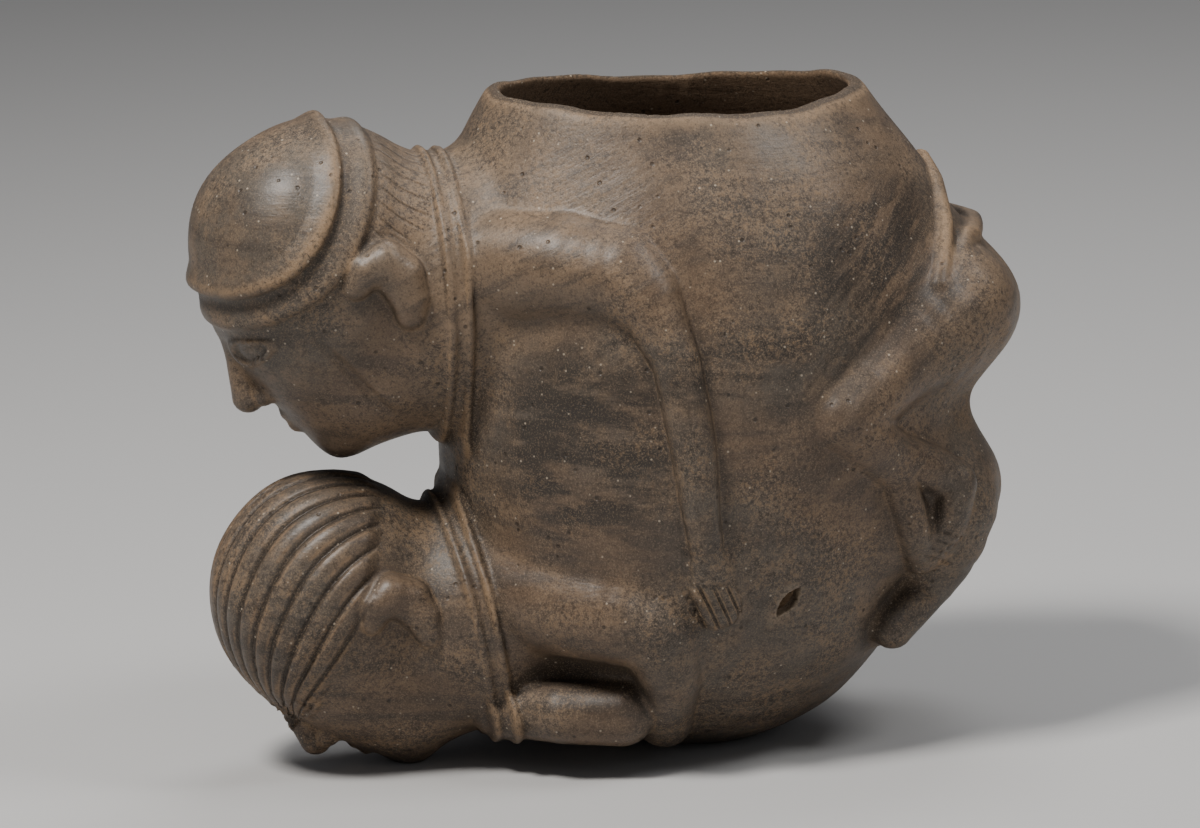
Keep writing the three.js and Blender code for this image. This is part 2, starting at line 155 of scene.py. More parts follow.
def egg(x, y, z, rx, ry, rz):
    def distance(p):
        side = np.abs(p[:, 1]) if y else p[:, 1]
        a, b, c = (p[:, 0] - x) / rx, (side - y) / ry, (p[:, 2] - z) / rz
        k = np.sqrt(a * a + b * b + c * c)
        return k * (k - 1) / np.maximum(np.sqrt((a / rx) ** 2 + (b / ry) ** 2 + (c / rz) ** 2), 1e-9)
    return distance


def limb(joints):
    joints = np.array(joints, float)
    low = (joints[:, :3] - joints[:, 3:]).min(0) - 5
    high = (joints[:, :3] + joints[:, 3:]).max(0) + 5

    def distance(p):
        p = np.stack((p[:, 0], -np.abs(p[:, 1]), p[:, 2]), 1)
        near = ((p > low) & (p < high)).all(1)
        out = np.full(len(p), FAR)
        q = p[near]
        nearest = np.full(len(q), FAR)
        for a, b in zip(joints, joints[1:]):
            rod = b[:3] - a[:3]
            along = np.clip((q - a[:3]) @ rod / (rod @ rod), 0, 1)
            gap = np.linalg.norm(q - a[:3] - along[:, None] * rod, axis=1)
            nearest = np.minimum(nearest, gap - a[3] - along * (b[3] - a[3]))
        out[near] = nearest
        return out
    return distance


print("2 away from a ball:", round(float(egg(0, 0, 0, 3, 3, 3)(np.array([[5.0, 0, 0]]))[0]), 3))

# %% [markdown]
# ## Laying a limb on the flank
#
# The limbs lie on the wall like rolled clay pressed onto it. It would be hard to guess each joint's place
# sideways, so `side_of` closes in on the surface, straight out from a place in the side view. `limb_on`
# then needs only that place, the thickness, and how far the limb stands proud.

# %% Laying a limb on the flank
def side_of(form, x, z):
    inner, outer = 0.0, 40.0
    while outer - inner > 0.01:
        middle = (inner + outer) / 2
        if form(np.array([[x, middle, z]]))[0] > 0:
            outer = middle
        else:
            inner = middle
    return inner


def limb_on(form, joints):
    fine = [joints[0]]
    for a, b in zip(joints, joints[1:]):
        fine += [[u + t * (v - u) for u, v in zip(a, b)] for t in (1 / 3, 2 / 3, 1)]
    return limb([[x, r - proud - side_of(form, x, z), z, r] for x, z, r, proud in fine])


print("half the width of an egg 54 wide:", round(side_of(egg(13, 0, 50, 32, 27, 31), 13, 50), 1))

# %% [markdown]
# ## The bowl's own body
#
# The vessel's wall runs through two trunks, two necks and two pairs of hips, and rises in an oval cone to
# the mouth. These few big eggs, blended softly, carry everything else.

# %% The body and the mouth
MOUTH_X, RIM_Z = 10.2, 80.2
MOUTH_LENGTH, MOUTH_WIDTH, LIP = 106 / PART_MM, 76 / PART_MM, 5 / PART_MM
MOUTH_RISE, MOUTH_SPREAD = 15, 9
OVALNESS = MOUTH_WIDTH / MOUTH_LENGTH

upper_trunk = egg(13, 0, 50, 32, 27, 31)
lower_trunk = egg(10.5, 0, 31, 29, 27, 31)
upper_neck = egg(-18, 0, 57.5, 16, 15.2, 16.4)
lower_neck = egg(-16, 0, 18.5, 15, 15.2, 14.2)
upper_hips = egg(37, 7, 52.3, 12.8, 13, 9.8)
lower_hips = egg(34, 7, 30.8, 13, 13.2, 9.8)


def mouth_spread(p):
    return np.hypot(p[:, 0] - MOUTH_X, p[:, 1] / OVALNESS)


def trunk(p):
    lean = math.cos(math.atan2(MOUTH_SPREAD, MOUTH_RISE))
    below = RIM_Z - p[:, 2]
    cone = (mouth_spread(p) - MOUTH_LENGTH / 2 - LIP - below * MOUTH_SPREAD / MOUTH_RISE) * lean
    d = blend(upper_trunk(p), lower_trunk(p), 8)
    d = blend(d, trim(cone, below - MOUTH_RISE * 1.5, 14), 5)
    d = blend(d, upper_hips(p), 5)
    d = blend(d, lower_hips(p), 5)
    d = blend(d, upper_neck(p), 3)
    return blend(d, lower_neck(p), 3)


BELLY = (13, 45)  # a plain place on the flank, to measure at
print("the body is", round(2 * side_of(trunk, *BELLY) * PART_MM), "mm wide")

# %% [markdown]
# ## Two heads
#
# Both faces are plain and calm, on the proportions that a drawing book gives: the eyes half way down the
# head, the nose ending half way from brow to chin, and the mouth a third of the way below it. They share
# one form in a frame of their own, forward, sideways and up from the head's centre, and differ in their
# stoop and in how the hair is dressed. Thin features such as lids and cords are added as a small
# height along a line, which keeps them crisp.

# %% A head
def in_head(p, x, z, stoop_degrees, size):
    stoop = math.radians(stoop_degrees)
    forward = np.array([-math.cos(stoop), 0, -math.sin(stoop)]) / size
    upward = np.array([-math.sin(stoop), 0, math.cos(stoop)]) / size
    q = p - (x, 0, z)
    return q @ forward, q[:, 1] / size, q @ upward


def head(x, z, stoop_degrees, size, dress):
    skull = egg(0.9, 0, 6, 15.2, 14, 15.2)
    face = egg(4.6, 0, -5.5, 10.4, 10.4, 12)
    jaw = egg(3.4, 0, -10.5, 9.2, 9.4, 7.4)
    features = (
        (egg(10, 0, -14.6, 2.6, 3.6, 2.6), 3),  # chin
        (limb([[14.6, 0, 4.4, 1.2], [13, -5.4, 5.2, 1.3], [10, -9.6, 4, 0.9]]), 1.5),  # brow
        (limb([[14.8, 0, 3.2, 1.1], [16.6, 0, -2.6, 1.6], [17, 0, -4.6, 2]]), 1.2),  # nose
        (limb([[15.4, -1.6, -5, 1.5], [14.8, -2, -5.1, 1.3]]), 0.7),  # sides of the nose
        (limb([[14, 0, -8.9, 1.2], [12.4, -3.6, -9.5, 0.8]]), 0.6),  # upper lip
        (limb([[13.8, 0, -10.5, 1.2], [12.4, -3, -10.1, 0.8]]), 0.6),  # lower lip
        (egg(10.9, 6, 1.4, 2.9, 3, 2.2), 0.6),  # eye
    )

    def distance(p):
        near = np.hypot(p[:, 0] - x, p[:, 2] - z) < 30
        out = np.full(len(p), FAR)
        f, side, u = in_head(p[near], x, z, stoop_degrees, size)
        q, s = np.stack((f, side, u), 1), np.abs(side)
        d = blend(blend(skull(q), face(q), 6), jaw(q), 3)
        for shape, soft in features:
            d = blend(d, shape(q), soft)
        front = step(5, 7, f)
        almond = np.hypot((s - 6) / 3.1, (u - 1.4) / (1.5 - 0.12 * (s - 6)))
        d -= front * 0.4 * crest((almond - 1.05) * 1.6, 0.55)
        d += front * 0.22 * crest((almond - 0.72) * 1.6, 0.4)
        out[near] = (d - dress(f, s, u)) * size
        return out
    return distance


bare_head = head(0, 0, 0, 1, lambda f, s, u: 0)
print("a bare head is", round(2 * side_of(bare_head, 0, 0) * PART_MM), "mm wide")

# %% [markdown]
# ## Cap and hair
#
# The upper head wears a smooth cap edged by a cord, with a broader band behind it, and its hair ends in a
# straight low step from temple to jaw. The lower head's hair is combed back over the crown in ridges,
# which stop short of the ears. Each is a function of the place on the head, so the ridges follow the
# skull by themselves. `combed_strands` gives the area that is combed and a number that rises by one from
# each strand to the next, because the material paints shade into the lines between the same strands later
# on.

# %% Cap and hair
def cap_level(f, s, u):
    return 0.36 * f + 0.933 * u + 0.03 * s * s


def cap_and_band(f, s, u):
    level = cap_level(f, s, u)
    temple = f - 6.9 - 0.2275 * u
    beside = step(7.5, 4, level) * step(-15, -12, u) * step(5, 7, s)
    hair = 0.3 * step(0.35, -0.35, temple) * beside
    return (0.85 * crest(level - 15.8, 1.5) + 0.6 * crest(level - 12.1, 1.8)
            + 0.12 * step(15.6, 16.4, level) + hair - 0.3 * crest(temple - 0.5, 0.8) * beside)


def combed_strands(f, s, u):
    around = np.arctan2(s, u + 1.5)
    area = step(5.5, 8, 0.42 * f + 0.9 * u + 2) * step(1.32, 1.18, around)
    return area, around * 6.4 + 0.1 * np.sin(f * 0.3 + 2)


def combed_hair(f, s, u):
    area, strand = combed_strands(f, s, u)
    ridge = np.abs(np.cos(math.pi * strand)) ** 0.5
    return (0.75 * ridge - 0.2) * area


# each head's place, its stoop in degrees, and its size
upper_pose, lower_pose = (-29.4, 58.9, 28.7, 1), (-28.6, 19, 47.7, 0.93)
upper_head = head(*upper_pose, cap_and_band)
lower_head = head(*lower_pose, combed_hair)
for name, form, pose in (("upper", upper_head, upper_pose), ("lower", lower_head, lower_pose)):
    print(name, "head:", round(2 * side_of(form, *pose[:2]) * PART_MM), "mm wide")

# %% [markdown]
# ## Limbs and belt
#
# The upper figure kneels with its arm hanging down the other's side, and the lower one goes on bent arms
# and legs. In the clay these are low rolls, flattened where they meet the wall. The number after each one
# says how softly it runs into the clay beneath: a thigh melts into the hip, a belt's end stays crisp. Two
# limbs stand free of the flank and are given with their own place sideways.

# %% Limbs and belt
def on_flank(*joints):
    return limb_on(trunk, joints)


limbs = [
    # the lower figure's thigh, and its shin drawn up beneath
    (on_flank([38, 29, 7, 0.8], [36.5, 22, 5.4, 1.4], [31, 16.6, 4, 1.8]), 1.4),
    (limb([[31, -16.4, 15.6, 2.6], [36.6, -14, 20, 2.6], [41, -10, 26, 2.6]]), 1.6),
    # the upper figure's thigh, shin and foot
    (on_flank([40, 53, 8, 1.2], [34.4, 50, 6, 2.3], [23.8, 43.6, 4.2, 2.8]), 1.2),
    (on_flank([23.6, 43.2, 3.8, 2.6], [30, 38, 3, 2.3], [38.4, 33.4, 2.8, 2.3]), 0.6),
    (on_flank([23.6, 43, 3.8, 2.5], [30.5, 35.4, 2.4, 1.9], [33.8, 26, 2.2, 1.9]), 0.6),
    (on_flank([38.8, 32.8, 2.6, 2.5], [37.4, 28.6, 2.6, 2.3], [34.4, 24.4, 2.2, 1.9]), 0.6),
    # the upper figure's belt
    (on_flank([40.6, 69, 1.2, 0.6], [40, 63, 1.2, 0.8], [37.4, 57, 1.3, 0.9]), 0.35),
    (on_flank([46.6, 60.6, 1.3, 0.3], [42.6, 61, 1.3, 0.7], [38, 56.6, 1.3, 0.8]), 0.35),
    # the lower figure's shoulder, upper arm and forearm
    (on_flank([-11, 22.4, 7, 1.2], [-4, 21.6, 6.6, 2.4], [1, 20, 5.6, 2.8]), 1.2),
    (on_flank([1.4, 19.5, 4.8, 2.8], [3, 13, 3.8, 2.8], [3.2, 6.5, 3.3, 2.4]), 0.8),
    (limb([[-15.5, -9, 8.2, 3.2], [-9, -15.6, 8.8, 3.8], [-2.5, -17.6, 8.8, 4]]), 1),
    # the upper figure's upper arm, forearm and hand
    (on_flank([-13, 61.6, 7.4, 1.4], [-6, 62.2, 7, 2.4], [-1, 61.4, 6.2, 2.7], [1, 59.4, 5, 2.9]), 0.55),
    (on_flank([1.8, 58.4, 4, 2.9], [3.9, 52, 3, 2.9], [4.9, 44, 2.6, 2.6], [5.7, 36, 2.3, 2.3]), 0.4),
    (on_flank([5.7, 36, 2.3, 2.3], [6.5, 29, 2, 1.9], [7.5, 25, 3.6, 1.7], [8.1, 22.8, 3.8, 1.3]), 0.3),
]
print("limbs and belt:", len(limbs), "rolls of clay on each side")

# %% [markdown]
# ## Ears
#
# An ear is a plain thick crescent of clay, set on where head and neck meet. Its curl is given in the
# head's own frame, forward and up, and laid like a limb, on the body and heads together.

# %% Ears
def masses(p):
    return blend(blend(trunk(p), upper_head(p), 3), lower_head(p), 3)


def ear(x, z, stoop_degrees, size):
    c, s = math.cos(math.radians(stoop_degrees)) * size, math.sin(math.radians(stoop_degrees)) * size
    # forward, up, radius, and how far it stands proud
    curl = ((0.2, 3.2, 1.6, 1.4), (-1.7, 4, 2.3, 2.2), (-4, 3.4, 2.9, 2.8), (-4.8, 1, 3, 2.8),
            (-4.4, -1.6, 2.4, 2.3), (-3.5, -3.3, 1.8, 1.6))
    return limb_on(masses, [[x - c * f - s * u, z - s * f + c * u, radius * size, proud * size]
                            for f, u, radius, proud in curl])


ears = [ear(*upper_pose), ear(*lower_pose)]
print("ears:", len(ears), "on each side")

# %% [markdown]
# ## Collars, fingers and toes
#
# A collar is a pair of cords pressed side by side round the place where neck meets body. The maker cut
# the fingers and toes with a few short slanting lines in the soft clay. All of these are thin, so they are
# heights along a line, as the cap's cord is: collars stand out and the lines go in.

# %% Collars, fingers and toes
FINGER, TOE = 1.45, 1.15  # from one line to the next
CUT = 0.45  # how deep the lines go


def collars(p):
    x, z = p[:, 0], p[:, 2]

    def cords(at):
        return 0.55 * crest(at - 1.1, 0.8) + 0.55 * crest(at + 1.1, 0.8) + 0.25 * crest(at, 2)
    upper = cords(x + 19.2) * step(38, 41, z)
    lower = cords(x + 19.6 + 0.165 * (z - 31.5)) * step(36, 33, z)
    return upper + lower


def on_hand(p):
    x, z = p[:, 0], p[:, 2]
    across = x * 0.91 + z * 0.42 - 15.4
    height = step(25.6, 24.6, z) * step(19.4, 20.4, z)
    return across, height * step(-2.6, -1.8, across) * step(4, 3.2, across)


def fingers_and_toes(p):
    x, z = p[:, 0], p[:, 2]
    across, hand = on_hand(p)
    between = (across + FINGER / 2) % FINGER - FINGER / 2
    along = (x - 34.4) * 0.44 + (z - 24.4) * 0.9
    edge = (x - 34.4) * 0.9 - (z - 24.4) * 0.44
    foot = step(-0.6, 0.4, along) * step(5.6, 4.6, along) * step(-1.4, 0.2, edge) * step(4, 3, edge)
    return CUT * hand * crest(between, 0.36) + CUT * foot * crest(along % TOE - 0.57, 0.28)


cord = collars(np.array([[-18.1, 0.0, 57.5]]))[0]
print("a collar's cord stands", round(float(cord) * PART_MM, 1), "mm proud")

# %% [markdown]
# ## The outside
#
# Everything so far comes together here, in the order in which a potter would add it. Last come slow waves
# of a fraction of a millimetre, because a wall that was built up by hand is never quite even.

# %% The outside
WAVES = ((0.31, 0.12, 0.22), (-0.17, 0.36, 0.14), (0.11, -0.2, 0.43), (0.52, 0.3, -0.21))
WAVE_HEIGHT = 0.07


def outside(p):
    d = trunk(p)
    for shape, soft in limbs:
        d = blend(d, shape(p), soft)
    d = blend(d, upper_head(p), 3)
    d = blend(d, lower_head(p), 3)
    for shape in ears:
        d = blend(d, shape(p), 0.6)
    d = d - collars(p) * step(7, 4, np.abs(d))
    d = d + fingers_and_toes(p)
    return d - WAVE_HEIGHT * sum(np.sin(p @ np.array(wave) + i) for i, wave in enumerate(WAVES))


print("the flank is", round(side_of(outside, *BELLY) * PART_MM, 1), "mm from the middle")

# %% [markdown]
# ## The hollow
#
# The hollow keeps a wall's thickness inside the body, and the throat below the mouth is cut with the
# cone's own slant. Both heads are hollow too, and a round passage through each neck joins them to the
# bowl, which also lets the heads dry and fire without bursting.

# %% The hollow
WALL = 6.5 / PART_MM
upper_skull_hollow = egg(-36.2, 0, 63.5, 14.4, 13.2, 14.4)
lower_skull_hollow = egg(-33.4, 0, 22.4, 14.4, 13.2, 14)
upper_passage = limb([[-36, 0, 58, 5], [0, 0, 58, 5]])
lower_passage = limb([[-36, 0, 20, 5], [0, 0, 20, 5]])


def hollow(p):
    d = trim(trunk(p) + WALL, p[:, 2] - RIM_Z + MOUTH_RISE / 3, 2)
    d = blend(d, upper_skull_hollow(p) + WALL * 1.3, 1.5)
    d = blend(d, lower_skull_hollow(p) + WALL * 1.3, 1.5)
    d = blend(d, upper_passage(p), 1.5)
    d = blend(d, lower_passage(p), 1.5)
    below = np.maximum(RIM_Z - p[:, 2], 0)
    throat = mouth_spread(p) - MOUTH_LENGTH / 2 - below * MOUTH_SPREAD / MOUTH_RISE
    return blend(d, np.maximum(throat * 0.85, below - MOUTH_RISE), 1)


wall_here = side_of(outside, *BELLY) - side_of(hollow, *BELLY)
print("the wall is", round(wall_here * PART_MM, 1), "mm thick at the flank")

# %% [markdown]
# ## Rim, break and foot
#
# The lip is where the outside, the hollow and the rim's plane trim each other softly, so it comes out
# rounded, as a lip drawn up with wet fingers is. It sags a little at the sides and wavers. A short break
# goes through the near flank beside the hand, and the underside is worn flat where the bowl rests.

# %% Rim, break and foot
SLIT_AT, SLIT_SLANT = (16.4, 22), math.radians(50)
SLIT_HALF_LENGTH, SLIT_HALF_WIDTH = 2.2, 0.78
FOOT = 2.2 / PART_MM


def rim(p):
    around = np.arctan2(p[:, 1] / OVALNESS, p[:, 0] - MOUTH_X)
    uneven = 0.16 * np.sin(3 * around + 1) + 0.12 * np.sin(7 * around) + 0.07 * np.sin(16 * around + 2)
    sag = 1.2 * (p[:, 1] / (MOUTH_WIDTH / 2)) ** 2
    return p[:, 2] - (RIM_Z - 0.04 * (p[:, 0] - MOUTH_X) - sag + uneven)


def slit(p):
    x, z = (p[:, 0] - SLIT_AT[0]), (p[:, 2] - SLIT_AT[1])
    u = x * math.cos(SLIT_SLANT) + z * math.sin(SLIT_SLANT)
    v = z * math.cos(SLIT_SLANT) - x * math.sin(SLIT_SLANT)
    ragged = 0.12 * np.sin(u * 5 + 1) + 0.08 * np.sin(u * 11)
    half = np.maximum(SLIT_HALF_WIDTH * (1 - (u / SLIT_HALF_LENGTH) ** 2), -1)
    return np.where(p[:, 1] < 0, np.abs(v + ragged) - half, FAR)


def clay(p):
    d = trim(outside(p), rim(p), 1.1)
    d = trim(d, -hollow(p), 0.9)
    d = trim(d, -slit(p), 0.25)
    return np.maximum(d, FOOT - p[:, 2])


print("the rim is", round((RIM_Z * PART - SHIFT[2]) * 1000), "mm above the table")

# %% [markdown]
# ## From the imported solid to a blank
#
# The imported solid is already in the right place, hollow, and open where it should be, so a copy of it is
# the blank to work from. Its doubles are merged first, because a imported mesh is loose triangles.

# %% The blank
solid = bpy.data.objects["effigy_bowl"]
blank = bmesh.new()
blank.from_mesh(solid.data)
bmesh.ops.transform(blank, matrix=solid.matrix_world, verts=blank.verts)
bmesh.ops.remove_doubles(blank, verts=blank.verts, dist=1e-6)
print("blank:", len(blank.verts), "vertices")
mesh = bpy.data.meshes.new("clay_vessel")
blank.to_mesh(mesh)
blank.free()
vessel = bpy.data.objects.new("clay_vessel", mesh)
bpy.context.scene.collection.objects.link(vessel)

# %% [markdown]
# ## A skin of clay
#
# A voxel remesh gives the blank an even net of small squares. Then each vertex slides down or up the slope
# of the form above, until it lies on it. Vertices crowd together in the creases that way, so both steps
# are done twice: the second remesh evens the net out where the first one had bunched up. Decimation then
# takes away what the net can spare: it keeps small faces in the carving and leaves large ones on the plain
# walls.

# %% Sliding a net onto the form
TRIANGLES = 188000


def apply_modifier(piece, kind, **settings):
    modifier = piece.modifiers.new(kind.lower(), kind)
    for name, value in settings.items():
        setattr(modifier, name, value)
    finished = bpy.data.meshes.new_from_object(piece.evaluated_get(bpy.context.evaluated_depsgraph_get()))
    piece.modifiers.clear()
    piece.data = finished
    return finished


def read(mesh, collection, name, width):
    values = np.empty(len(getattr(mesh, collection)) * width, np.float32)
    getattr(mesh, collection).foreach_get(name, values)
    return values.reshape(-1, width).astype(float)


def layout(points):
    return (points + SHIFT) / PART


def slope(form, p, reach=0.04):
    return np.stack([(form(p + d) - form(p - d)) / (2 * reach) for d in np.eye(3) * reach], 1)


def slide_onto(form, mesh, sweeps):
    points = layout(read(mesh, "vertices", "co", 3))
    away = form(points)
    for _ in range(sweeps):
        off = np.abs(away) > 0.01
        steepest = slope(form, points[off])
        steepest /= np.maximum((steepest ** 2).sum(1, keepdims=True), 0.3)
        points[off] -= np.clip(away[off], -0.35, 0.35)[:, None] * steepest
        away[off] = form(points[off])
    mesh.vertices.foreach_set("co", (points * PART - SHIFT).astype(np.float32).ravel())
    mesh.update()
    microns = float(np.abs(away).mean()) * PART * 1e6
    print(len(points), "vertices,", round(microns, 1), "microns off on average")


def triangles_in(mesh):
    return sum(len(face.vertices) - 2 for face in mesh.polygons)


print("the blank's own net:", triangles_in(mesh), "triangles")

# %% The skin
for fineness, sweeps in ((0.0013, 3), (0.00105, 4)):
    mesh = apply_modifier(vessel, "REMESH", mode="VOXEL", voxel_size=fineness)
    slide_onto(clay, mesh, sweeps)
share = TRIANGLES / triangles_in(mesh)
mesh = apply_modifier(vessel, "DECIMATE", decimate_type="COLLAPSE", ratio=share)
mesh.polygons.foreach_set("use_smooth", np.ones(len(mesh.polygons), bool))
print("decimated to", triangles_in(mesh), "triangles")

# %% [markdown]
# ## The old break
#
# A net of squares rounds off so small a hole, so the break is cut again at last with crisp edges. The
# cutter starts as a flat disc, is squeezed into a ragged lens, and is drawn out into a short bar. It
# starts inside the hollow and ends outside the near flank, so it goes through that wall alone.

# %% The old break
def ragged_lens(half_length, half_width, depth, segments=48):
    cutter = bmesh.new()
    bmesh.ops.create_circle(cutter, cap_ends=True, segments=segments, radius=1)
    for vert in cutter.verts:
        u, v = vert.co.x, vert.co.y
        ragged = 0.1 * math.sin(9 * u + 1) + 0.07 * math.sin(23 * u + 2)
        vert.co.x, vert.co.y = u * half_length, (v * math.sqrt(abs(v)) + ragged * (1 - u * u)) * half_width
    walls = bmesh.ops.extrude_face_region(cutter, geom=cutter.faces[:])
    moved = [item for item in walls["geom"] if isinstance(item, bmesh.types.BMVert)]
    bmesh.ops.translate(cutter, verts=moved, vec=(0, 0, depth))
    bmesh.ops.recalc_face_normals(cutter, faces=cutter.faces)
    return cutter


CUT_HALF_LENGTH, CUT_HALF_WIDTH, CUT_DEPTH = 0.0056, 0.0021, 0.03
CUT_START = -0.054  # sideways, inside the hollow

cutter = ragged_lens(CUT_HALF_LENGTH, CUT_HALF_WIDTH, CUT_DEPTH)
turned = Matrix.Rotation(math.radians(90), 4, "X") @ Matrix.Rotation(-SLIT_SLANT, 4, "Z").inverted()
in_hollow = Vector((SLIT_AT[0] * PART - SHIFT[0], CUT_START, SLIT_AT[1] * PART - SHIFT[2]))
bmesh.ops.transform(cutter, matrix=Matrix.Translation(in_hollow) @ turned, verts=cutter.verts)
cutter_mesh = bpy.data.meshes.new("break_cutter")
cutter.to_mesh(cutter_mesh)
cutter.free()
cutter_piece = bpy.data.objects.new("break_cutter", cutter_mesh)
bpy.context.scene.collection.objects.link(cutter_piece)
mesh = apply_modifier(vessel, "BOOLEAN", operation="DIFFERENCE", solver="EXACT", object=cutter_piece)
bpy.data.objects.remove(cutter_piece)
mesh.polygons.foreach_set("use_smooth", np.ones(len(mesh.polygons), bool))
print("finished net:", triangles_in(mesh), "triangles")

# %% [markdown]
# ## Where the clay is worn, broken, or darkened with painted shade
#
# Ridges lose their burnish and turn tan, grooves are darkened with painted shade, and the break shows the
# raw clay inside.
# The distance function tells which is which: a little way out from a groove, the nearest clay is nearer
# than it ought to be, and a little way under a ridge it is nearer too. These measures are stored on the
# vertices as attributes, which the material reads.

# %% Wear and painted shade
points = layout(read(mesh, "vertices", "co", 3))
normals = read(mesh, "vertex_normals", "vector", 3)


def how_closed(form, reach):
    return np.clip((reach - form(points + reach * normals)) / reach, 0, 1)


def how_sharp(form, reach):
    return np.clip((reach + form(points - reach * normals)) / reach, 0, 1)


def store(masks):
    for name, values in masks.items():
        mesh.attributes.new(name, "FLOAT", "POINT").data.foreach_set("value", values.astype(np.float32))
        print(name, "mean:", round(float(values.mean()), 3))


store({
    # recess: how enclosed each point is; the material darkens it as painted shade
    "recess": np.maximum(how_closed(outside, 0.8), 0.8 * how_closed(outside, 2.5)),
    "wear": np.maximum(how_sharp(outside, 0.7), 0.7 * how_sharp(outside, 1.6)),
    "hollow_side": (np.abs(hollow(points)) < 0.25) & (outside(points) < -0.8),
    "lip": step(1.8, 0.3, np.abs(rim(points))),
    "broken": step(0.6, 0.1, np.abs(slit(points))) * (points[:, 1] < -5),
})

# %% [markdown]
# ## Strands and fingers
#
# Three places have fine parallel lines: the lower head's combed hair, the short hair on the upper head's
# nape, and the hand. One attribute counts across the lines, so that each of them falls at a half, and
# another says how strongly they show. The material can then draw every line from the same cosine.

# %% Strands and fingers
def outer(form):
    return (form(points) < 1.5) * (outside(points) > -0.8)


f, side, u = in_head(points, *lower_pose)
combed, strand = combed_strands(f, np.abs(side), u)
combed = combed * outer(lower_head)

f, side, u = in_head(points, *upper_pose)
s = np.abs(side)
nape = step(10.4, 9, cap_level(f, s, u)) * step(2, -2, f) * step(3, 6, u)
nape *= step(-19.5, -21.5, points[:, 0]) * outer(upper_head)
strand = np.where(combed > nape, strand, np.arctan2(s, 0.36 * u - 0.933 * f) * 9)

across, hand = on_hand(points)
hand = hand * (trunk(points) > 0.1) * (np.abs(outside(points)) < 0.6)
store({
    "strand": np.where(hand > 0, across / FINGER + 0.5, strand),
    "combed": np.maximum(np.maximum(combed, 0.45 * nape), 0.6 * hand),
    "fingers": hand,
})

# %% [markdown]
# ## Shader sums as sums
#
# A material's nodes are easier to read as arithmetic. `Wire` holds one socket, and its operators add the
# Math nodes. `add` puts in any other node from its type, its settings and its inputs. `layer` lays one
# colour over another, as thickly as its mask says.

# %% A small language for nodes
material = bpy.data.materials.new("burnished_clay")
material.use_nodes = True
tree = material.node_tree
shader = tree.nodes["Principled BSDF"]


class Wire:
    def __init__(self, socket):
        self.socket = socket

    def math(self, operation, *others):
        return add("ShaderNodeMath", {"operation": operation}, dict(enumerate((self, *others))))

    def __add__(self, other):
        return self.math("ADD", other)

    def __mul__(self, other):
        return self.math("MULTIPLY", other)

    def __sub__(self, other):
        return self.math("SUBTRACT", other)

    def __rsub__(self, other):
        return (self * -1) + other

    __radd__, __rmul__ = __add__, __mul__

    def ramp(self, low, high):
        return add("ShaderNodeMapRange", {"interpolation_type": "SMOOTHSTEP"},
                   {"Value": self, "From Min": low, "From Max": high})


def add(kind, settings=None, inputs=None, output=0):
    node = tree.nodes.new(kind)
    for name, value in (settings or {}).items():
        setattr(node, name, value)
    for name, value in (inputs or {}).items():
        if isinstance(value, Wire):
            tree.links.new(value.socket, node.inputs[name])
        else:
            node.inputs[name].default_value = value
    return Wire(node.outputs[output])


def layer(under, amount, tone):
    return add("ShaderNodeMix", {"data_type": "RGBA"}, {"Factor": amount, 6: under, 7: (*tone, 1)}, 2)


print("a new material starts with", len(tree.nodes), "nodes")

# %% [markdown]
# ## Noise, masks and patches
#
# The pot was rubbed with a smooth stone while leather-hard, so it has a soft shine broken into strokes,
# and fired in the open, so smoke left grey and near-black clouds on a warm brown. Handling took the
# shine off the ridges. Each of these is one layer: a colour, and a mask made from noise, from the
# attributes, or from a patch, which fades with the distance from a place on the bowl.

# %% Noise, masks and patches
place = add("ShaderNodeTexCoord", output="Object")


def noise(scale, detail, rough, stretch=None, turn=0):
    where = place
    if stretch:
        where = add("ShaderNodeMapping", {"vector_type": "TEXTURE"},
                    {"Vector": place, "Scale": stretch, "Rotation": (0, math.radians(turn), 0)})
    return add("ShaderNodeTexNoise", None, {
        "Vector": where, "Scale": scale, "Detail": detail, "Roughness": rough})


def mask(name):
    return add("ShaderNodeAttribute", {"attribute_name": name}, output="Fac")


def patch(center, size, edge):
    offset = add("ShaderNodeVectorMath", {"operation": "SUBTRACT"}, {0: place, 1: center})
    scaled = add("ShaderNodeVectorMath", {"operation": "DIVIDE"}, {0: offset, 1: size})
    length = add("ShaderNodeVectorMath", {"operation": "LENGTH"}, {0: scaled}, "Value")
    return length.ramp(1, 1 - edge)


def patches(spots, edge=0.6):
    return sum(patch(center, size, edge) * strength for center, size, strength in spots)


recess, wear, inside = mask("recess"), mask("wear"), mask("hollow_side")
lip, broken, combed = mask("lip"), mask("broken"), mask("combed")
clouds = noise(16, 2, 0.5)
zones = noise(30, 3, 0.6)
mottle = noise(110, 4, 0.65)
grit = noise(650, 3, 0.75)
fine = noise(1900, 2, 0.7)
print("noises and masks:", len(tree.nodes), "nodes")

# %% [markdown]
# ## Strokes of the burnishing stone
#
# A noise that is stretched one way looks like strokes. On the back they run level, over the shoulder and
# along the thigh they rise with the limb, so two patches blend three directions into each other.

# %% Strokes of the burnishing stone
shoulder = patch((-0.03, -0.04, 0.165), (0.07, 0.08, 0.05), 0.5)
thigh = patch((0.09, -0.05, 0.13), (0.07, 0.06, 0.07), 0.5)
level_strokes = noise(26, 4, 0.65, (1, 0.5, 0.15), 4)
shoulder_strokes = noise(30, 4, 0.65, (1, 0.5, 0.13), -27)
thigh_strokes = noise(28, 4, 0.65, (1, 0.5, 0.14), -42)
strokes = level_strokes + shoulder * (shoulder_strokes - level_strokes)
strokes = strokes + thigh * (thigh_strokes - strokes)
print("with strokes:", len(tree.nodes), "nodes")
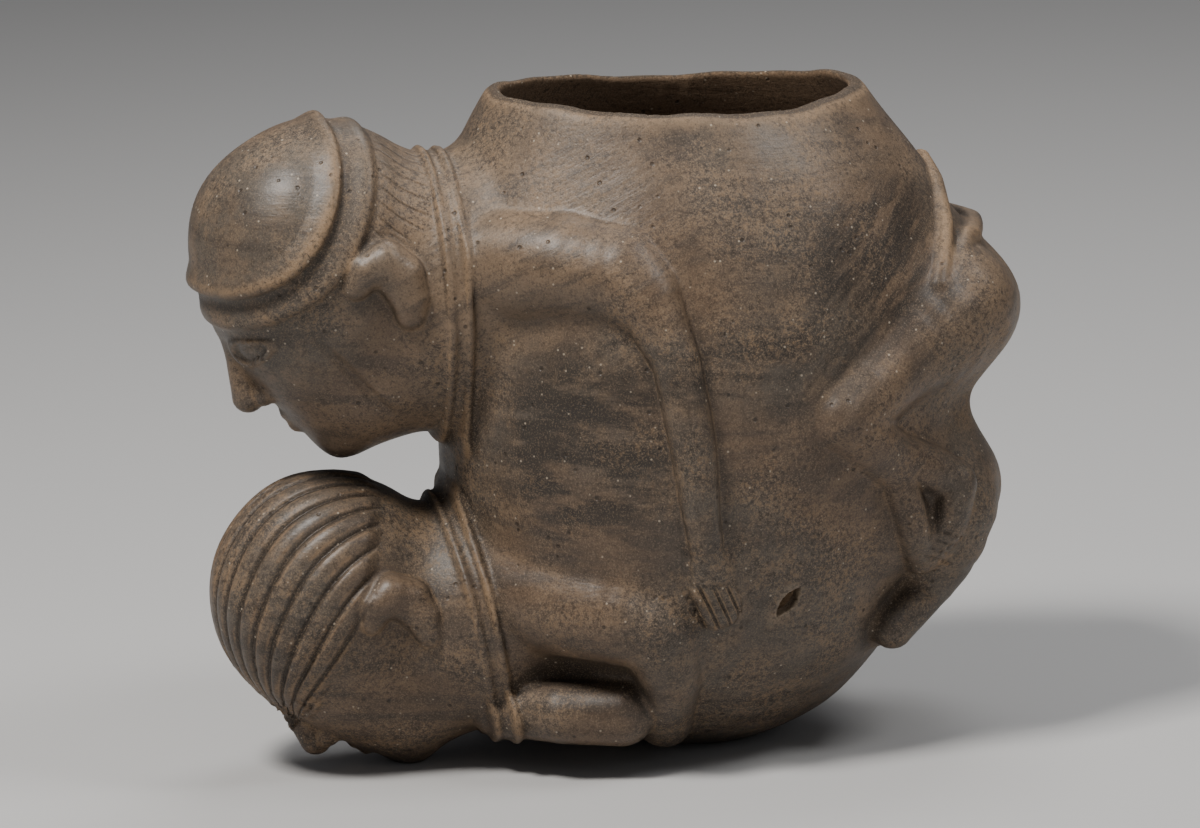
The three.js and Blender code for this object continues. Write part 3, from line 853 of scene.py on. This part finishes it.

# %% [markdown]
# ## Fired clay, smoke and painted shade underneath
#
# The ground is warm brown that drifts to grey. Where the fire burned clean the clay is tan, and where it
# smouldered, soot went into the strokes. The last, broad spot round the underside is painted shade in the
# same dark colour. Each spot is a middle, its half sizes and a strength.

# %% Fired clay, smoke and painted shade
WARM_BROWN, GREY_BROWN = (0.125, 0.083, 0.054), (0.098, 0.08, 0.063)
TAN, MOTTLED_TAN = (0.19, 0.13, 0.083), (0.195, 0.132, 0.083)
DARK_STROKE, SOOT_AND_SHADE = (0.055, 0.044, 0.036), (0.03, 0.025, 0.021)

clean = patches((
    ((-0.045, -0.04, 0.17), (0.05, 0.06, 0.045), 1),
    ((0.125, -0.02, 0.135), (0.045, 0.07, 0.05), 1),
    ((0.085, -0.05, 0.19), (0.055, 0.06, 0.03), 0.7),
    ((-0.06, -0.03, 0.135), (0.04, 0.06, 0.04), 0.5),
))
# smoke clouds from the fire, plus one broad spot of painted shade over the underside and lower limbs
smoke_and_underside_shade = patches((
    ((0.08, -0.06, 0.158), (0.045, 0.06, 0.034), 1),
    ((-0.02, -0.06, 0.105), (0.04, 0.05, 0.045), 1),
    ((0.03, 0.07, 0.09), (0.06, 0.05, 0.05), 1),
    ((0.035, -0.07, 0.128), (0.05, 0.05, 0.02), 0.7),
    ((-0.1, -0.03, 0.04), (0.035, 0.05, 0.035), 0.5),
)) + patches((((0, -0.02, -0.01), (0.15, 0.11, 0.06), 0.9),), edge=0.8)
soot_and_shade_amount = (smoke_and_underside_shade * (strokes.ramp(0.36, 0.54) * 0.9 + mottle * 0.4 - 0.1)).math("MINIMUM", 1.0)

color = layer((*WARM_BROWN, 1), clouds.ramp(0.38, 0.6), GREY_BROWN)
color = layer(color, clean * (zones * 0.8 + 0.25), TAN)
color = layer(color, mottle.ramp(0.42, 0.66) * 0.5, MOTTLED_TAN)
color = layer(color, strokes.ramp(0.46, 0.64) * 0.6, DARK_STROKE)
# soot from the fire, and painted shade darkening the underside
color = layer(color, soot_and_shade_amount * 0.85, SOOT_AND_SHADE)
print("with fire and smoke:", len(tree.nodes), "nodes")

# %% [markdown]
# ## Rubbed ridges, dirt and the inside
#
# Ridges and the lip are rubbed down to tan, and the shine is scuffed in grainy zones. The recesses are
# darkened with painted shade. The inside was never burnished and kept a lighter, dusty tan, and the break
# is raw clay.

# %% Rubbed ridges, painted shade and the inside
RUBBED, RECESS_SHADE = (0.28, 0.18, 0.1), (0.032, 0.023, 0.016)
DUSTY_INSIDE, RAW_CLAY = (0.19, 0.12, 0.07), (0.3, 0.23, 0.16)

rubbed = wear.ramp(0.08, 0.5) * (mottle.ramp(0.3, 0.6) * 0.7 + 0.3) + lip * 0.5
rough_zones = (zones + mottle * 0.3).ramp(0.52, 0.82)
scuffed = rubbed + grit.ramp(0.5, 0.62) * rough_zones * 0.5
color = layer(color, scuffed.math("MINIMUM", 0.75), RUBBED)
# painted shade: darkens each point by how enclosed it is, as shadow in a crease would
color = layer(color, recess.ramp(0.08, 0.5) * 0.85, RECESS_SHADE)
color = layer(color, inside * 0.8, DUSTY_INSIDE)
color = layer(color, broken * 0.7, RAW_CLAY)
print("with wear and dirt:", len(tree.nodes), "nodes")

# %% [markdown]
# ## Lines between strands and fingers
#
# The cosine of the strand count is nought in the middle of each line and one between two lines. Its low
# values paint shade into the bottom of the line, and a narrow band above them its rubbed edge.

# %% Lines between strands and fingers
STRAND_EDGE, FINGER_EDGE, GROOVE_SHADE = (0.24, 0.15, 0.085), (0.28, 0.19, 0.11), (0.028, 0.02, 0.014)

groove = (mask("strand") * math.pi).math("COSINE").math("ABSOLUTE")
strand_edge = groove.ramp(0.5, 0.62) * groove.ramp(0.85, 0.7) * combed
finger_edge = groove.ramp(0.75, 0.55) * groove.ramp(0.3, 0.42) * mask("fingers")
color = layer(color, strand_edge * mottle.ramp(0.4, 0.6) * 0.5, STRAND_EDGE)
# painted shade at the bottom of each hair and finger line
color = layer(color, groove.ramp(0.42, 0.12) * combed * 0.8, GROOVE_SHADE)
color = layer(color, finger_edge * (fine.ramp(0.36, 0.56) * 0.5 + 0.35), FINGER_EDGE)
print("with lines:", len(tree.nodes), "nodes")

# %% [markdown]
# ## Grain, pits and specks
#
# The clay itself is full of light and dark grit. Small things come last: pits where grit fell out, and
# pale specks of shell or lime. A Voronoi cell is one grain, and its random colour picks the few cells
# that show.

# %% Grain, pits and specks
LIGHT_GRAIN, DARK_GRAIN = (0.28, 0.205, 0.135), (0.028, 0.02, 0.015)
SPECK, PIT = (0.5, 0.42, 0.32), (0.03, 0.022, 0.016)


def grains(scale, share, size):
    cells = {"Vector": place, "Scale": scale}
    cell = add("ShaderNodeTexVoronoi", None, cells, "Distance")
    kind = add("ShaderNodeTexVoronoi", None, cells, "Color")
    red = add("ShaderNodeSeparateColor", None, {"Color": kind}, "Red")
    return red.math("LESS_THAN", share) * cell.ramp(size, size * 0.4)


grainy = rough_zones * 0.4 + 0.5
specks = grains(620, 0.045, 0.3)
pits = grains(380, 0.06, 0.34)
color = layer(color, grit.ramp(0.48, 0.38) * grainy * 0.75, DARK_GRAIN)
color = layer(color, fine.ramp(0.53, 0.64) * grainy * 0.6, LIGHT_GRAIN)
color = layer(color, fine.ramp(0.45, 0.36) * grainy * 0.5, DARK_GRAIN)
color = layer(color, specks * 0.6, SPECK)
color = layer(color, pits * 0.7, PIT)
print("with grain:", len(tree.nodes), "nodes")

# %% [markdown]
# ## Shine and touch
#
# Burnished clay shines softly. It is duller where it is scuffed, in recesses or never burnished. The same
# masks that colour the strokes, grit and pits also raise and sink the surface by hundredths of a
# millimetre, which is too fine for the net.

# %% Shine and touch
shine = 0.34 + strokes * 0.12 + rough_zones * 0.12 + scuffed * 0.2 + recess * 0.25 + inside * 0.35
height = (strokes * 0.35 + mottle * 0.16 + grit * grainy * 0.16 + fine * 0.04 - pits * 0.3
          + groove.ramp(0, 0.55) * combed * 0.8)
bump = add("ShaderNodeBump", None, {"Height": height, "Distance": 0.001, "Strength": 0.8})
for socket, wire in (("Base Color", color), ("Roughness", shine), ("Normal", bump)):
    tree.links.new(wire.socket, shader.inputs[socket])
shader.inputs["Specular IOR Level"].default_value = 0.38

mesh.materials.clear()
mesh.materials.append(material)
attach(vessel, "root")
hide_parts("effigy_bowl")
print("nodes in the clay:", len(tree.nodes))

# %% [markdown]
# ## The floor
#
# A plain pale floor, large enough to run out of sight, so that nothing draws the eye from the clay.

# %% The floor
floor_shape = bmesh.new()
bmesh.ops.create_grid(floor_shape, x_segments=1, y_segments=1, size=6)
floor_mesh = bpy.data.meshes.new("floor")
floor_shape.to_mesh(floor_mesh)
floor_shape.free()
floor = bpy.data.objects.new("floor", floor_mesh)
bpy.context.scene.collection.objects.link(floor)
plain = bpy.data.materials.new("plain_floor")
plain.use_nodes = True
plain.node_tree.nodes["Principled BSDF"].inputs["Base Color"].default_value = (0.5, 0.495, 0.49, 1)
plain.node_tree.nodes["Principled BSDF"].inputs["Roughness"].default_value = 0.9
floor_mesh.materials.append(plain)
floor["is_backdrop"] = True
print("floor:", round(floor.dimensions.x), "m wide")

# %% [markdown]
# ## Light
#
# Soft light comes mainly from the upper left, as in the photograph: it runs along the flank, so the limbs
# stand out by their own shadows. A weak light from the right and one from behind keep the far edges from
# going black. Each softbox is given by its direction, distance, size and power.

# %% Light
def softbox(name, azimuth, elevation, distance, size, power, tint=(1, 1, 1)):
    light = bpy.data.lights.new(name, "AREA")
    light.energy, light.size, light.color = power, size, tint
    a, e = math.radians(azimuth), math.radians(elevation)
    way = Vector((math.sin(a) * math.cos(e), -math.cos(a) * math.cos(e), math.sin(e)))
    lamp = bpy.data.objects.new(name, light)
    lamp.matrix_world = Matrix.Translation(Vector((0, 0, 0.1)) + distance * way) @ (
        way.to_track_quat("Z", "Y").to_matrix().to_4x4())
    bpy.context.scene.collection.objects.link(lamp)


softbox("key", -58, 58, 1.3, 0.3, 20, (1, 0.97, 0.93))
softbox("side", 62, 50, 1.4, 0.4, 7)
softbox("top", 150, 62, 1.4, 0.6, 6)
softbox("fill", 20, 15, 1.8, 1.2, 1.5)
world = bpy.data.worlds.new("studio")
bpy.context.scene.world = world
world.use_nodes = True
world.node_tree.nodes["Background"].inputs["Color"].default_value = (0.9, 0.93, 1, 1)
world.node_tree.nodes["Background"].inputs["Strength"].default_value = 0.11
print("lights:", len(bpy.data.lights))

# %% [markdown]
# ## Sizes
#
# The dressed bowl is meant to fill the same box as the imported solid. Two printed lines show both
# boxes: the solid's box first, then the box of what is seen.

# %% Sizes, and done
for box in (solid_box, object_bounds()):
    print(rounded(box, 4))
